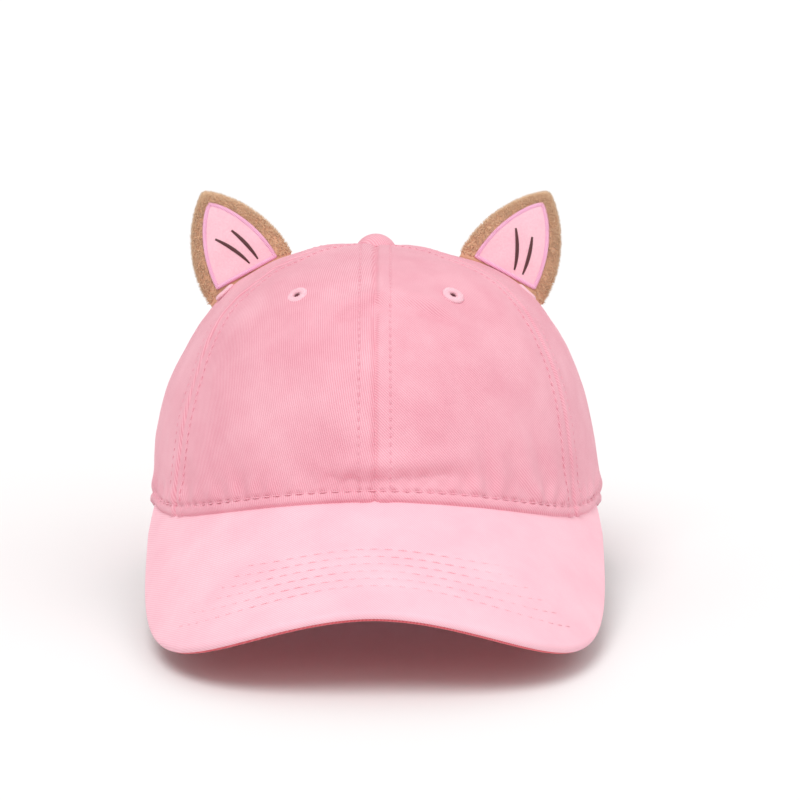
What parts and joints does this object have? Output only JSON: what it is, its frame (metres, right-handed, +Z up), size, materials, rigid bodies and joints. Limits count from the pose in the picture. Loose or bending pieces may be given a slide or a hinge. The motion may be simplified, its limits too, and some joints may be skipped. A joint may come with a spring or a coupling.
{
  "type": "cap",
  "caption": "Child's soft cotton cap with a curved peak, plush cat ears, a covered button and a back strap with a clamp buckle.",
  "frame": {"origin": "centre of the bounding box, on the surface the cap rests on", "axes": "+Z up, -Y towards the peak's front, +X to the wearer's left; the cap lies as it rests on a table, tipped back on its strap and the two sides of its peak"},
  "size_m": [0.161, 0.251, 0.1365],
  "materials": {
    "pink_twill": "matt cotton twill",
    "seam_tape": "plain woven tape",
    "sweatband_cotton": "plain woven cotton",
    "peak_board": "matt polyethylene",
    "eyelet_thread": "rayon thread",
    "buckle_steel": "brushed, nickel plated",
    "button_metal": "plain stamped",
    "tan_plush": "short plush pile",
    "pink_felt": "felt",
    "satin_thread": "satin stitch, glossy",
    "brown_thread": "satin stitch, glossy",
    "ear_filling": "polyester fibre"
  },
  "bodies": {
    "cap": {"front_panel_left": "pink_twill", "side_panel_left": "pink_twill", "back_panel_left": "pink_twill", "back_panel_right": "pink_twill", "side_panel_right": "pink_twill", "front_panel_right": "pink_twill", "eyelets": "eyelet_thread", "seam_tape_front": "seam_tape", "seam_tape_front_left": "seam_tape", "seam_tape_back_left": "seam_tape", "seam_tape_back": "seam_tape", "seam_tape_back_right": "seam_tape", "seam_tape_front_right": "seam_tape", "sweatband": "sweatband_cotton", "opening_binding": "seam_tape", "peak_top_cloth": "pink_twill", "peak_board": "peak_board", "peak_under_cloth": "pink_twill", "buckle_strap": "pink_twill", "buckle_frame": "buckle_steel", "buckle_pin": "buckle_steel", "button_cover": "pink_twill", "button_shell": "button_metal", "button_rivet": "button_metal", "button_washer": "button_metal"},
    "strap": {"strap": "pink_twill"},
    "buckle_lever": {"buckle_lever": "buckle_steel"},
    "ear_left": {"ear_left_back_plush": "tan_plush", "ear_left_filling": "ear_filling", "ear_left_front_plush": "tan_plush", "ear_left_felt": "pink_felt", "ear_left_border": "satin_thread", "ear_left_lines": "brown_thread"},
    "ear_right": {"ear_right_back_plush": "tan_plush", "ear_right_filling": "ear_filling", "ear_right_front_plush": "tan_plush", "ear_right_felt": "pink_felt", "ear_right_border": "satin_thread", "ear_right_lines": "brown_thread"}
  },
  "joints": [
    {"name": "strap_slide", "type": "hinge", "parent": "cap", "child": "strap", "pos_m": [0.00123, 0.04098, 0.01678], "axis": [0, -0.1901, -0.9818], "range_deg": [-5, 9]},
    {"name": "buckle_lever_turn", "type": "hinge", "parent": "cap", "child": "buckle_lever", "pos_m": [0.0179, 0.11798, 0.00188], "axis": [0, -0.1901, -0.9818], "range_deg": [0, 100]},
    {"name": "ear_left_fold", "type": "hinge", "parent": "cap", "child": "ear_left", "pos_m": [0.0455, 0.04835, 0.10707], "axis": [0.8788, -0.0907, -0.4685], "range_deg": [-18, 18], "stiffness_Nm_per_rad": 0.15},
    {"name": "ear_right_fold", "type": "hinge", "parent": "cap", "child": "ear_right", "pos_m": [-0.0455, 0.04835, 0.10707], "axis": [0.8788, 0.0907, 0.4685], "range_deg": [-18, 18], "stiffness_Nm_per_rad": 0.15}
  ]
}
